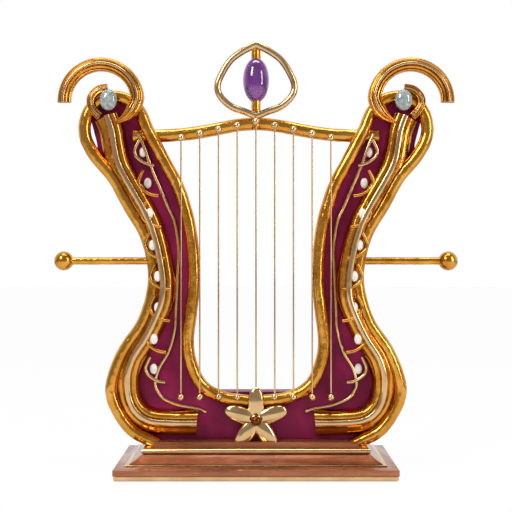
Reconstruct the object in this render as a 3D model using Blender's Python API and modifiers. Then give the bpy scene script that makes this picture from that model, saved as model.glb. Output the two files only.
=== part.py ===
"""Ornamental lyre-harp: gilt tube frame on a crimson board, nine strings, moulded wooden base.

Metres, +Z up. The harp faces -Y, and its origin is the middle of the base's underside.
Everything at +X is modelled, and each paired piece is mirrored to -X.
"""
import math

import bmesh
import bpy
from mathutils import Matrix, Vector

# Overall sizes: outlines are drawn in millimetres on a 450 mm harp and scaled to these.
HARP_HEIGHT = 0.450
FRAME_SPAN = 0.368
DRAWN_HEIGHT = 450.0
DRAWN_SPAN = 368.0

# Clearance between pieces that touch or pass through each other.
GAP = 0.0003

# Base: half-width (X) and half-depth (Y) of the plinth, and how far each moulding stands out.
PLINTH_HALF_WIDTH = 0.1053
PLINTH_HALF_DEPTH = 0.029
BEAD_OVERHANG = 0.0114
COVE_OVERHANG = 0.0227
FILLET_OVERHANG = 0.0261
FOOT_OVERHANG = 0.0370
BAND_OVERHANG = 0.0362
BAND_REBATE = 0.0040
BAND_TOP = 0.0053
FOOT_TOP = 0.0111
SLOPE_TOP = 0.0128
FILLET_TOP = 0.0141
COVE_TOP = 0.0216
BEAD_TOP = 0.0276
PLINTH_TOP = 0.0320

# Board behind the arms.
BOARD_THICKNESS = 0.020
BOARD_FRONT = -BOARD_THICKNESS / 2
BOARD_REST = BOARD_FRONT - GAP

# Frame tube and crossbar.
TUBE_RADIUS = 0.00665
TUBE_SIDES = 8
TUBE_Y = BOARD_REST - TUBE_RADIUS
TUBE_FRONT = TUBE_Y - TUBE_RADIUS
SEAM_X = -0.006
BAR_RADIUS = 0.0069
BAR_Y = -0.008
BAR_FRONT = BAR_Y - BAR_RADIUS
BAR_HALF_LENGTH = 0.1285
BAR_END_Z = 349.0
BAR_RISE = 13.1
BAR_ARCH = 56.0

# Strings, pins and studs.
STRINGS = 9
STRING_PITCH = 0.0193
STRING_RADIUS = 0.0008
BALL_RADIUS = 0.0037
PIN_RADIUS = 0.0020
PIN_TAIL = 0.006
PIN_SQUARE = 0.0026
PIN_BALL_Y = TUBE_FRONT - 0.0022
PIN_BALL_Z = 362.3
PIN_BALL_DROP = 4.2
STUD_RADIUS = 0.0015
STUD_BALL_Y = TUBE_FRONT - 0.0039
STUD_Z = 78.4
RAIL_ABOVE_STUD = 0.0022
RAIL_BELOW_STUD = 0.0060
RAIL_THICKNESS = 0.005
MIDDLE_STRING_Y = -0.0190
MIDDLE_STRING_DEPTH = 0.002

# Fluted band: half-widths about its raised strip, and heights above the board.
BAND_INNER = 0.0120
BAND_OUTER = 0.0150
STRIP_HALF = 0.0030
STRIP_HEIGHT = 0.0190
INNER_RIDGE_HEIGHT = 0.0140
OUTER_RIDGE_HEIGHT = 0.0100
RIM_HEIGHT = 0.0050
BAND_END_SLANT = 0.0040

# Scrolls on the arm's head.
BIG_SCROLL_HALF = 0.0070
BIG_SCROLL_DEPTH = 0.0120
SMALL_SCROLL_HALF = 0.0044
SMALL_SCROLL_DEPTH = 0.0075
BIG_SCROLL_RADIUS = 37.7
BIG_SCROLL_TIP_RADIUS = 25.6
BIG_SCROLL_CENTRE = (159.3, 382.8)
OPAL_CENTRE = (151.5, 383.8)
OPAL_HALF = (0.0090, 0.0063, 0.01085)

# Vine, hooks and pearls.
WIRE_RADIUS = 0.0015
HOOK_PITCH = 32.3
HOOK_TOP_Z = 344.3
PEARL_HALF = (0.0039, 0.0024, 0.0055)
PEARL_FROM_HOOK = (-3.4, -12.4)

# Side rods.
ROD_RADIUS = 0.0040
ROD_BALL_RADIUS = 0.0099
ROD_END = (199.6, 218.5)
ROD_FOOT_X = 110.0

# Crest.
CREST_WIRE = 0.00365
CREST_Y = -0.015
SPINDLE_RADIUS = 0.0050
SPINDLE_Y = -0.011
SPINDLE_TOP = 441.5
GEM_Z = 407.3
GEM_RADIUS = 0.0138
GEM_HALF_HEIGHT = 0.0235

# Flower.
FLOWER_Z = 54.4
PETALS = 5
PETAL_HALF = (0.0084, 0.0050, 0.0172)
PETAL_REACH = 0.0166
PETAL_SINK = 0.0004
PETAL_LAP = 0.00017
PETAL_BACK = TUBE_FRONT - GAP
HUB_RADIUS = 0.0070
HUB_HEIGHT = 0.0035
STEM_RADIUS = 0.0040
FLOWER_BALL_RADIUS = 0.0054
FLOWER_BALL_Y = -0.0300

# Outlines of the +X half in the drawing's millimetres, as (X, Z).
OUTER_ARM = [
    (94.6, 24.4), (110.2, 32.0), (127.6, 41.6), (141.1, 58.2), (149.8, 79.0), (147.7, 99.3),
    (136.2, 126.4), (117.6, 154.3), (107.6, 185.1), (106.5, 213.2), (114.9, 246.0),
    (132.6, 276.6), (147.9, 304.3), (166.6, 326.7),
]
ARM_HEAD = [
    (176.9, 346.3), (177.2, 364.0), (169.9, 379.1), (158.1, 387.4), (144.6, 389.0),
    (130.0, 384.0), (119.6, 371.8), (112.3, 354.6),
]
INNER_ARM = [
    (95.7, 323.4), (79.7, 292.2), (68.2, 250.6), (64.3, 203.8), (67.3, 167.4), (70.9, 135.2),
    (66.6, 109.2), (55.1, 88.4),
]
TUBE_BOTTOM = [(33.3, 76.4), (0.0, 72.0)]
BOARD_FOOT = (103.0, 32.3)
BOARD_HEAD = [
    (166.0, 339.1), (170.0, 355.6), (172.5, 367.0), (170.0, 379.0), (158.0, 386.5),
    (144.5, 386.9), (138.2, 378.0), (127.7, 365.0), (121.5, 354.5), (113.5, 341.0),
]
BOARD_CUT = (44.0, 81.6)
STRIP_PATH = [
    (154.1, 368.5), (148.7, 353.1), (143.0, 322.2), (133.2, 301.7), (121.3, 281.1),
    (110.5, 260.6), (103.4, 240.0), (98.8, 219.5), (95.8, 198.9), (96.8, 178.4),
    (104.3, 157.8), (114.5, 137.3), (127.3, 116.7), (132.3, 96.2), (130.3, 75.6),
    (122.3, 61.8), (108.9, 53.6), (85.3, 51.5), (56.0, 51.5),
]
BAND_END = (61.0, 51.5)
SMALL_SCROLL_PATH = [
    (152.4, 396.6), (161.7, 394.6), (168.4, 388.4), (170.0, 381.2), (166.9, 374.0), (160.7, 367.3),
]
VINE_PATH = [
    (122.1, -16.7, 350.2), (115.3, -16.3, 334.4), (109.3, -15.1, 316.5), (101.1, -13.2, 297.1),
    (92.1, -11.8, 275.4), (84.7, -11.8, 258.2), (80.6, -11.8, 229.9), (81.5, -11.8, 209.0),
    (83.5, -11.8, 167.2), (84.7, -11.8, 146.3), (91.1, -11.8, 123.6), (101.2, -11.8, 106.2),
    (105.1, -11.8, 90.6), (102.1, -11.8, 81.8), (96.0, -11.8, 74.5), (79.4, -11.8, 67.6),
    (60.3, -11.8, 64.0), (51.9, -11.8, 60.9),
]
VINE_LOW = 6
HOOK_SHAPE = [
    (0.0, 0.0), (3.7, -7.3), (4.8, -11.8), (3.0, -17.6), (-2.2, -22.1), (-8.0, -25.1),
    (-15.5, -26.5),
]
HOOK_X = [121.4, 116.4, 113.1, 109.8, 104.6, 104.6, 108.5, 110.2]
TOP_HOOK_Y = -0.0167
BOTTOM_HOOK_Y = -0.0139
BAND_HOOK_Y = TUBE_FRONT - GAP - WIRE_RADIUS
SECOND_HOOK_Y = -0.0230
CREST_PATH = [
    (-5.0, 447.0), (0.0, 444.0), (12.5, 437.7), (24.0, 429.9), (30.2, 422.6), (35.4, 413.8),
    (39.6, 403.9), (39.6, 395.5), (34.9, 387.2), (25.0, 378.9), (12.5, 374.2), (0.0, 369.0),
    (-5.0, 367.0),
]


def clear_scene():
    for item in list(bpy.data.objects):
        bpy.data.objects.remove(item)


def new_collection(name):
    collection = bpy.data.collections.new(name)
    bpy.context.scene.collection.children.link(collection)
    return collection


clear_scene()
HARP = new_collection("harp")
CUTTERS = new_collection("cutters")


def metal(name, colour, roughness, metallic=1.0):
    material = bpy.data.materials.new(name)
    material.use_nodes = True
    shader = material.node_tree.nodes["Principled BSDF"]
    shader.inputs["Base Color"].default_value = (*colour, 1.0)
    shader.inputs["Roughness"].default_value = roughness
    shader.inputs["Metallic"].default_value = metallic
    return material


HAMMERED_GOLD = metal("hammered_gold", (0.48, 0.22, 0.035), 0.28)
POLISHED_GOLD = metal("polished_gold", (0.52, 0.34, 0.14), 0.12)
CRIMSON_LACQUER = metal("crimson_lacquer", (0.13, 0.004, 0.035), 0.35, 0.0)
COPPER_WOOD = metal("copper_wood", (0.30, 0.10, 0.045), 0.20, 0.3)
COPPER = metal("copper", (0.16, 0.045, 0.01), 0.15)
PEARL = metal("pearl", (0.78, 0.74, 0.70), 0.30, 0.0)
OPAL = metal("opal", (0.30, 0.37, 0.38), 0.08, 0.0)
AMETHYST = metal("amethyst", (0.20, 0.025, 0.26), 0.06, 0.0)


def across(x):
    """Drawing X in millimetres to metres."""
    return x * FRAME_SPAN / DRAWN_SPAN


def up(z):
    """Drawing Z in millimetres to metres: the base keeps its height, and the rest is scaled."""
    drawn_base = PLINTH_TOP * 1000.0
    return PLINTH_TOP + (z - drawn_base) * (HARP_HEIGHT - PLINTH_TOP) / (DRAWN_HEIGHT - drawn_base)


def front_points(outline):
    return [(across(x), up(z)) for x, z in outline]


def smooth(knots, steps):
    """Points on a Catmull-Rom curve through the knots, with this many steps between two."""
    knots = [Vector(knot) for knot in knots]
    first = knots[0] * 2 - knots[1]
    last = knots[-1] * 2 - knots[-2]
    padded = [first, *knots, last]
    points = []
    for a, b, c, d in zip(padded, padded[1:], padded[2:], padded[3:]):
        for step in range(steps):
            t = step / steps
            points.append(
                0.5 * (2 * b + (c - a) * t + (2 * a - 5 * b + 4 * c - d) * t ** 2
                       + (3 * b - a - 3 * c + d) * t ** 3)
            )
    points.append(knots[-1])
    return points


def link(item, collection, material=None):
    collection.objects.link(item)
    if material:
        item.data.materials.clear()
        item.data.materials.append(material)
    return item


def curve_item(name, points, dimensions, cyclic=False, sizes=None):
    """A curve object on straight segments between points, in X and Y or in space."""
    data = bpy.data.curves.new(name, 'CURVE')
    data.dimensions = dimensions
    spline = data.splines.new('POLY')
    spline.points.add(len(points) - 1)
    for index, point in enumerate(points):
        place = Vector((*point, 0.0)) if len(point) == 2 else Vector(point)
        spline.points[index].co = (*place, 1.0)
        spline.points[index].radius = sizes[index] if sizes else 1.0
    spline.use_cyclic_u = cyclic
    return bpy.data.objects.new(name, data)


def evaluated_mesh(item):
    bpy.context.view_layer.update()
    depsgraph = bpy.context.evaluated_depsgraph_get()
    return bpy.data.meshes.new_from_object(item.evaluated_get(depsgraph))


def tidy_mesh(mesh, smooth_angle):
    """Welds a curve's caps on, turns its faces outward and shades it."""
    work = bmesh.new()
    work.from_mesh(mesh)
    bmesh.ops.remove_doubles(work, verts=work.verts, dist=1e-6)
    bmesh.ops.recalc_face_normals(work, faces=work.faces)
    work.to_mesh(mesh)
    work.free()
    mesh.shade_smooth()
    mesh.set_sharp_from_angle(angle=math.radians(smooth_angle))


def mesh_from_curve(curve, collection, material, smooth_angle=50):
    """Turns a curve object into a closed mesh object of the same name."""
    bpy.context.scene.collection.objects.link(curve)
    mesh = evaluated_mesh(curve)
    tidy_mesh(mesh, smooth_angle)
    name = curve.name
    matrix = curve.matrix_world.copy()
    bpy.data.objects.remove(curve)
    item = bpy.data.objects.new(name, mesh)
    item.matrix_world = matrix
    return link(item, collection, material)


def wire(name, points, radius, sides, collection, material=None):
    """A round rod along points in space; sides is 6, 8, 10 or 12."""
    curve = curve_item(name, points, '3D')
    curve.data.bevel_depth = radius
    curve.data.bevel_resolution = (sides - 4) // 2
    curve.data.use_fill_caps = True
    return mesh_from_curve(curve, collection, material)


def upright(points, y):
    return [(point[0], y, point[1]) for point in points]


def board(name, outline, front, back, collection, material=None):
    """A flat upright piece with a closed outline in X and Z."""
    curve = curve_item(name, outline, '2D', cyclic=True)
    curve.data.fill_mode = 'BOTH'
    curve.data.extrude = (back - front) / 2
    curve.rotation_euler.x = math.radians(90)
    curve.location.y = (front + back) / 2
    return mesh_from_curve(curve, collection, material, 30)


def fluted(name, path, profile, back, collection, material=None, sizes=None):
    """A moulded strip along an upright path; its profile rises toward -Y from the back plane."""
    section = curve_item(name + "_section", profile, '2D', cyclic=True)
    bpy.context.scene.collection.objects.link(section)
    curve = curve_item(name, path, '2D', sizes=sizes)
    curve.data.bevel_mode = 'OBJECT'
    curve.data.bevel_object = section
    curve.data.use_fill_caps = True
    curve.rotation_euler.x = math.radians(90)
    curve.location.y = back
    item = mesh_from_curve(curve, collection, material, 35)
    bpy.data.objects.remove(section)
    return item


def ellipsoid(name, centre, half, segments, rings, collection, material=None):
    mesh = bpy.data.meshes.new(name)
    work = bmesh.new()
    bmesh.ops.create_uvsphere(work, u_segments=segments, v_segments=rings, radius=1.0)
    bmesh.ops.scale(work, vec=half, verts=work.verts)
    work.to_mesh(mesh)
    work.free()
    mesh.shade_smooth()
    item = bpy.data.objects.new(name, mesh)
    item.location = centre
    return link(item, collection, material)


def box(name, low, high, collection, material=None):
    mesh = bpy.data.meshes.new(name)
    low = Vector(low)
    high = Vector(high)
    work = bmesh.new()
    bmesh.ops.create_cube(work, size=1.0)
    bmesh.ops.scale(work, vec=high - low, verts=work.verts)
    work.to_mesh(mesh)
    work.free()
    item = bpy.data.objects.new(name, mesh)
    item.location = (low + high) / 2
    return link(item, collection, material)


def boolean(item, tool, operation):
    """Cuts item by tool, or joins tool to it; the tool is hidden."""
    modifier = item.modifiers.new(tool.name, 'BOOLEAN')
    modifier.operation = operation
    modifier.solver = 'EXACT'
    modifier.object = tool
    tool.hide_render = True
    tool.display_type = 'WIRE'


def mirrored(item, name):
    """A copy on the -X side with its faces turned outward again."""
    mesh = evaluated_mesh(item)
    mesh.transform(Matrix.Scale(-1, 4, (1, 0, 0)) @ item.matrix_world)
    mesh.flip_normals()
    mesh.name = name
    return link(bpy.data.objects.new(name, mesh), HARP)


def bar_height(x):
    """Height of the crossbar's axis at a drawn X."""
    return up(BAR_END_Z + BAR_RISE * math.exp(-(x / BAR_ARCH) ** 2))


def string_xs():
    return [(index - (STRINGS - 1) / 2) * STRING_PITCH for index in range(STRINGS)]


def pin_ball(x):
    drop = PIN_BALL_DROP * abs(x) / STRING_PITCH
    return Vector((x, PIN_BALL_Y, up(PIN_BALL_Z - drop)))


def pin_axis(x):
    """From the ball's centre toward the crossbar's axis, so that the pin leans up to it."""
    bar = Vector((x, BAR_Y, bar_height(x * DRAWN_SPAN / FRAME_SPAN)))
    return (bar - pin_ball(x)).normalized()


def moulding(name, levels, closed, material):
    """A rectangular moulded block or ring: one rectangle for each (overhang, height) level."""
    mesh = bpy.data.meshes.new(name)
    work = bmesh.new()
    loops = []
    for overhang, height in levels:
        half_x = PLINTH_HALF_WIDTH + overhang
        half_y = PLINTH_HALF_DEPTH + overhang
        corners = [(-half_x, -half_y), (half_x, -half_y), (half_x, half_y), (-half_x, half_y)]
        loops.append([work.verts.new((x, y, height)) for x, y in corners])
    pairs = list(zip(loops, loops[1:]))
    if closed:
        pairs.append((loops[-1], loops[0]))
    for lower, upper in pairs:
        for index in range(4):
            other = (index + 1) % 4
            work.faces.new((lower[index], lower[other], upper[other], upper[index]))
    if not closed:
        work.faces.new(loops[0][::-1])
        work.faces.new(loops[-1])
    bmesh.ops.recalc_face_normals(work, faces=work.faces)
    work.to_mesh(mesh)
    work.free()
    return link(bpy.data.objects.new(name, mesh), HARP, material)


def half_round(overhang, low, high, steps):
    """Levels of a half-round edge that stands out to overhang between two heights."""
    radius = (high - low) / 2
    middle = (high + low) / 2
    turns = [math.pi * (step / steps - 0.5) for step in range(steps + 1)]
    return [(overhang - radius + radius * math.cos(turn), middle + radius * math.sin(turn))
            for turn in turns]


def make_base():
    rebate = FOOT_OVERHANG - BAND_REBATE
    fillet_seat = COVE_OVERHANG - 0.002
    block = moulding("base_block", [
        (rebate, 0.0), (rebate, BAND_TOP), (FOOT_OVERHANG, BAND_TOP), (FOOT_OVERHANG, FOOT_TOP),
        (FILLET_OVERHANG, SLOPE_TOP), (fillet_seat, SLOPE_TOP), (fillet_seat, FILLET_TOP),
        (COVE_OVERHANG, FILLET_TOP), (BEAD_OVERHANG, COVE_TOP), (0.0, COVE_TOP), (0.0, PLINTH_TOP),
    ], False, COPPER_WOOD)
    moulding("base_foot_band", [
        (rebate + GAP, 0.0), (BAND_OVERHANG - 0.0016, 0.0), (BAND_OVERHANG, 0.0010),
        (BAND_OVERHANG, BAND_TOP - GAP), (rebate + GAP, BAND_TOP - GAP),
    ], True, POLISHED_GOLD)
    moulding("base_fillet", [
        (fillet_seat + GAP, SLOPE_TOP + GAP), (FILLET_OVERHANG, SLOPE_TOP + GAP),
        (FILLET_OVERHANG, FILLET_TOP - GAP), (fillet_seat + GAP, FILLET_TOP - GAP),
    ], True, POLISHED_GOLD)
    bead_levels = half_round(BEAD_OVERHANG, COVE_TOP + GAP, BEAD_TOP, 6)
    moulding("base_bead", [(GAP, COVE_TOP + GAP), *bead_levels, (GAP, BEAD_TOP)],
             True, POLISHED_GOLD)
    socket = tube_tool("plinth_socket", TUBE_RADIUS + GAP, BEAD_TOP - GAP)
    boolean(block, socket, 'DIFFERENCE')
    boolean(block, mirrored_tool(socket), 'DIFFERENCE')


def tube_points(steps=2):
    return smooth(front_points(OUTER_ARM + ARM_HEAD + INNER_ARM + TUBE_BOTTOM), steps)


def tube_tool(name, radius, foot):
    """A stretch of the lower outer arm, cut flat at the height of its foot, as a cutter."""
    points = smooth(front_points(OUTER_ARM), 2)[:8]
    tool = wire(name, upright(points, TUBE_Y), radius, TUBE_SIDES, CUTTERS)
    below = box(name + "_foot", (0.0, -0.2, -0.1), (0.2, 0.2, foot), CUTTERS)
    boolean(tool, below, 'DIFFERENCE')
    return tool


def mirrored_tool(tool):
    copy = mirrored(tool, tool.name + "_left")
    HARP.objects.unlink(copy)
    return link(copy, CUTTERS)


def make_board():
    outer = smooth(front_points([BOARD_FOOT, *OUTER_ARM[2:], *BOARD_HEAD, *INNER_ARM,
                                 BOARD_CUT]), 2)
    outline = outer + [Vector((-x, z)) for x, z in reversed(outer)]
    panel = board("back_panel", outline, BOARD_FRONT, -BOARD_FRONT, HARP, CRIMSON_LACQUER)
    boolean(panel, bar_rod("bar_slot", BAR_RADIUS + GAP, BAR_HALF_LENGTH + GAP, CUTTERS),
            'DIFFERENCE')
    for x in stud_xs():
        boolean(panel, stud_bore("board_bore", x), 'DIFFERENCE')
    return panel


def bar_rod(name, radius, half_length, collection, material=None):
    count = 14
    xs = [half_length * (2 * step / count - 1) for step in range(count + 1)]
    points = [(x, BAR_Y, bar_height(x * DRAWN_SPAN / FRAME_SPAN)) for x in xs]
    return wire(name, points, radius, TUBE_SIDES, collection, material)


def stud_xs():
    """The middle string ends in the tube and has no stud."""
    return [x for x in string_xs() if abs(x) > STRING_PITCH / 2]


def rod_along_y(name, x, z, front, back, radius, collection, sides=8, material=None):
    return wire(name, [(x, front, z), (x, back, z)], radius, sides, collection, material)


def stud_bore(name, x):
    return rod_along_y(name, x, up(STUD_Z), -0.05, 0.05, STUD_RADIUS + GAP, CUTTERS, 6)


def make_frame_tubes():
    """The whole loop, mirrored over the middle and parted at the seam behind the flower."""
    half = tube_points()
    right_half = upright(half, TUBE_Y)
    left_half = [(-x, y, z) for x, y, z in reversed(right_half[:-1])]
    loop = right_half + left_half
    sides = [("frame_tube_right", SEAM_X + GAP / 2, 0.3), ("frame_tube_left", -0.3, SEAM_X - GAP / 2)]
    slot = bpy.data.objects["bar_slot"]
    for name, low, high in sides:
        tube = wire(name, loop, TUBE_RADIUS, TUBE_SIDES, HARP, HAMMERED_GOLD)
        foot = box(name + "_foot", (-0.3, -0.2, -0.1), (0.3, 0.2, BEAD_TOP + GAP), CUTTERS)
        keep = box(name + "_keep", (low, -0.2, -0.1), (high, 0.2, 0.6), CUTTERS)
        boolean(tube, keep, 'INTERSECT')
        boolean(tube, foot, 'DIFFERENCE')
        boolean(tube, slot, 'DIFFERENCE')
        for x in stud_xs():
            if low < x < high and abs(x) < 0.045:
                boolean(tube, stud_bore("tube_bore", x), 'DIFFERENCE')
    middle_bore = wire("middle_bore", [(0.0, MIDDLE_STRING_Y, up(TUBE_BOTTOM[-1][1])),
                                       (0.0, MIDDLE_STRING_Y, up(TUBE_BOTTOM[-1][1]) + 0.02)],
                       STRING_RADIUS + GAP, 6, CUTTERS)
    boolean(bpy.data.objects["frame_tube_right"], middle_bore, 'DIFFERENCE')


def make_crossbar():
    bar = bar_rod("crossbar", BAR_RADIUS, BAR_HALF_LENGTH, HARP, HAMMERED_GOLD)
    bore = wire("spindle_bore", [(0.0, SPINDLE_Y, 0.30), (0.0, SPINDLE_Y, 0.50)],
                SPINDLE_RADIUS + GAP, 12, CUTTERS)
    boolean(bar, bore, 'DIFFERENCE')
    for x in string_xs():
        ball = pin_ball(x)
        end = ball + pin_axis(x) * 0.05
        boolean(bar, wire("pin_bore", [ball, end], PIN_RADIUS + GAP, 6, CUTTERS), 'DIFFERENCE')


def band_profile(grow=0.0):
    """The band's section from its outer rim over the raised strip to its inner rim."""
    inner_round = [(BAND_INNER - 0.0044 + 0.0040 * math.sin(turn),
                    RIM_HEIGHT + (INNER_RIDGE_HEIGHT - RIM_HEIGHT) * math.cos(turn))
                   for turn in (math.radians(angle) for angle in (-60, -20, 20, 60))]
    outer_round = [(-BAND_OUTER + 0.0062 + 0.0045 * math.sin(turn),
                    RIM_HEIGHT + (OUTER_RIDGE_HEIGHT - RIM_HEIGHT) * math.cos(turn))
                   for turn in (math.radians(angle) for angle in (-60, -20, 20, 60))]
    section = [(-BAND_OUTER, 0.0), (-BAND_OUTER, RIM_HEIGHT * 0.6), (-BAND_OUTER + 0.0012, RIM_HEIGHT),
               *outer_round, (-STRIP_HALF, OUTER_RIDGE_HEIGHT * 0.7), (-STRIP_HALF, STRIP_HEIGHT),
               (STRIP_HALF, STRIP_HEIGHT), (STRIP_HALF, INNER_RIDGE_HEIGHT * 0.7), *inner_round,
               (BAND_INNER - 0.0010, RIM_HEIGHT), (BAND_INNER, RIM_HEIGHT * 0.6), (BAND_INNER, 0.0)]
    return [(u + math.copysign(grow, u), v + grow if v > 0 else v - grow) for u, v in section]


def band_path():
    return smooth(front_points(STRIP_PATH), 2)


def hook_points(index):
    x0 = HOOK_X[index]
    z0 = HOOK_TOP_Z - index * HOOK_PITCH
    return smooth(front_points([(x0 + dx, z0 + dz) for dx, dz in HOOK_SHAPE]), 1)


def scroll_profile(half, depth, grow=0.0):
    """A fluted section: round outer ridge, raised bead, groove and thin inner rim."""
    section = [(-half, 0.0), (-half, depth * 0.55), (-half * 0.72, depth * 0.85),
               (-half * 0.40, depth * 0.72), (-half * 0.22, depth), (half * 0.12, depth),
               (half * 0.25, depth * 0.66), (half * 0.62, depth * 0.55), (half * 0.80, depth * 0.74),
               (half, depth * 0.62), (half, 0.0)]
    return [(u + math.copysign(grow, u), v + grow if v > 0 else v - grow) for u, v in section]


def big_scroll_path():
    """A circle that winds in past the arm's inner side, with the size of its section there."""
    points = []
    sizes = []
    centre_x, centre_z = BIG_SCROLL_CENTRE
    steps = 26
    for step in range(steps + 1):
        angle = -2.0 + 236.0 * step / steps
        wound = max(0.0, (angle - 175.0) / 59.0)
        radius = BIG_SCROLL_RADIUS - (BIG_SCROLL_RADIUS - BIG_SCROLL_TIP_RADIUS) * wound
        turn = math.radians(angle)
        points.append((across(centre_x + radius * math.cos(turn)),
                       up(centre_z + radius * math.sin(turn))))
        sizes.append(1.0 - 0.85 * max(0.0, (angle - 195.0) / 39.0) ** 1.3)
    return points[::-1], sizes[::-1]


SCROLL_BACK = TUBE_FRONT - GAP


def small_scroll(name, grow, collection, material=None):
    path = smooth(front_points(SMALL_SCROLL_PATH), 3)
    profile = scroll_profile(SMALL_SCROLL_HALF, SMALL_SCROLL_DEPTH, grow)
    mirrored_profile = [(-u, v) for u, v in profile]
    return fluted(name, path, mirrored_profile, SCROLL_BACK, collection, material)


def big_scroll(name, grow, collection, material=None):
    path, sizes = big_scroll_path()
    profile = scroll_profile(BIG_SCROLL_HALF, BIG_SCROLL_DEPTH, grow)
    return fluted(name, path, profile, SCROLL_BACK, collection, material, sizes)


def outer_ribbon():
    """Everything just outside the outer arm's axis, through the band's whole height."""
    path = smooth(front_points(OUTER_ARM[3:]), 2)
    profile = [(0.0, -0.004), (0.0, 0.024), (0.012, 0.024), (0.012, -0.004)]
    return fluted("outer_ribbon", path, profile, BOARD_REST, CUTTERS)


def make_bands():
    band = fluted("scroll_band_right", band_path(), band_profile(), BOARD_REST, HARP, HAMMERED_GOLD)
    low_x = across(BAND_END[0])
    end = board("band_end", [(-0.02, 0.0), (low_x + BAND_END_SLANT, 0.0), (low_x - BAND_END_SLANT, 0.1),
                             (-0.02, 0.1)], -0.05, 0.05, CUTTERS)
    tube = wire("band_tube_cope", upright(smooth(front_points(OUTER_ARM + ARM_HEAD), 2), TUBE_Y),
                TUBE_RADIUS + GAP, TUBE_SIDES, CUTTERS)
    vine = wire("band_vine_cope", vine_knots()[VINE_LOW:], WIRE_RADIUS + GAP, 8, CUTTERS)
    low_hook = wire("band_hook_cope", upright(hook_points(len(HOOK_X) - 1), BOTTOM_HOOK_Y),
                    WIRE_RADIUS + GAP, 8, CUTTERS)
    tools = [end, tube, vine, low_hook, outer_ribbon(), small_scroll("band_small_cope", GAP, CUTTERS),
             big_scroll("band_big_cope", GAP, CUTTERS)]
    for tool in tools:
        boolean(band, tool, 'DIFFERENCE')
    for index in range(1, 7):
        hook_y = SECOND_HOOK_Y if index == 1 else BAND_HOOK_Y
        hook = wire("band_hook", upright(hook_points(index), hook_y), WIRE_RADIUS, 6, CUTTERS)
        boolean(band, hook, 'UNION')
    mirrored(band, "scroll_band_left")


def make_scrolls():
    big = big_scroll("big_scroll_right", 0.0, HARP, HAMMERED_GOLD)
    small = small_scroll("small_scroll_right", 0.0, HARP, HAMMERED_GOLD)
    x, z = OPAL_CENTRE
    centre = (across(x), SCROLL_BACK - GAP - OPAL_HALF[1], up(z))
    ellipsoid("opal_right", centre, OPAL_HALF, 12, 8, HARP, OPAL)
    seat = ellipsoid("opal_seat", centre, [half + GAP for half in OPAL_HALF], 12, 8, CUTTERS)
    boolean(small, seat, 'DIFFERENCE')
    for name in ("big_scroll", "small_scroll", "opal"):
        mirrored(bpy.data.objects[name + "_right"], name + "_left")
    return big


def vine_knots():
    return [(across(x), y / 1000.0, up(z)) for x, y, z in VINE_PATH]


def make_vines():
    vine = wire("vine_right", vine_knots(), WIRE_RADIUS, 6, HARP, POLISHED_GOLD)
    for index, y in ((0, TOP_HOOK_Y), (7, BOTTOM_HOOK_Y)):
        hook = wire("vine_hook", upright(hook_points(index), y), WIRE_RADIUS, 6, CUTTERS)
        boolean(vine, hook, 'UNION')
    mirrored(vine, "vine_left")


def make_pearls():
    tool = fluted("pearl_cope", band_path(), band_profile(GAP), BOARD_REST, CUTTERS)
    for index, hook_x in enumerate(HOOK_X):
        x = across(hook_x + PEARL_FROM_HOOK[0])
        z = up(HOOK_TOP_Z - index * HOOK_PITCH + PEARL_FROM_HOOK[1])
        on_board = index in (0, 1, 7)
        back = BOARD_REST if on_board else TUBE_FRONT - GAP
        name = f"pearl_right_{index + 1}"
        pearl = ellipsoid(name, (x, back - PEARL_HALF[1], z), PEARL_HALF, 8, 6, HARP, PEARL)
        if not on_board:
            boolean(pearl, tool, 'DIFFERENCE')
        mirrored(pearl, f"pearl_left_{index + 1}")


def make_side_rods():
    x, z = ROD_END
    inner = (across(ROD_FOOT_X), TUBE_Y, up(z))
    outer = (across(x), TUBE_Y, up(z))
    rod = wire("side_rod_right", [inner, outer], ROD_RADIUS, 12, HARP, HAMMERED_GOLD)
    ball = ellipsoid("rod_ball", outer, [ROD_BALL_RADIUS] * 3, 12, 8, CUTTERS)
    saddle = wire("rod_saddle", upright(smooth(front_points(OUTER_ARM), 2), TUBE_Y),
                  TUBE_RADIUS + GAP, TUBE_SIDES, CUTTERS)
    boolean(rod, saddle, 'DIFFERENCE')
    boolean(rod, ball, 'UNION')
    mirrored(rod, "side_rod_left")


def make_crest():
    path = upright(smooth(front_points(CREST_PATH), 2), CREST_Y)
    loop = wire("crest_loop", path, CREST_WIRE, 8, HARP, POLISHED_GOLD)
    mirror = loop.modifiers.new("Mirror", 'MIRROR')
    mirror.use_bisect_axis[0] = True
    mirror.use_mirror_merge = True
    mirror.merge_threshold = 0.00001
    spindle_bottom = bar_height(0.0) - BAR_RADIUS + GAP
    ends = [(0.0, SPINDLE_Y, spindle_bottom), (0.0, SPINDLE_Y, up(SPINDLE_TOP))]
    bore = wire("crest_bore", [ends[0], (0.0, SPINDLE_Y, up(SPINDLE_TOP) + GAP)],
                SPINDLE_RADIUS + GAP, 12, CUTTERS)
    boolean(loop, bar_rod("crest_bar", BAR_RADIUS + GAP, 0.05, CUTTERS), 'DIFFERENCE')
    boolean(loop, bore, 'DIFFERENCE')
    spindle = wire("crest_spindle", ends, SPINDLE_RADIUS, 12, HARP, HAMMERED_GOLD)
    ball = pin_ball(0.0)
    boolean(spindle, wire("spindle_pin_bore", [ball, ball + pin_axis(0.0) * 0.05],
                          PIN_RADIUS + GAP, 6, CUTTERS), 'DIFFERENCE')


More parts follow.
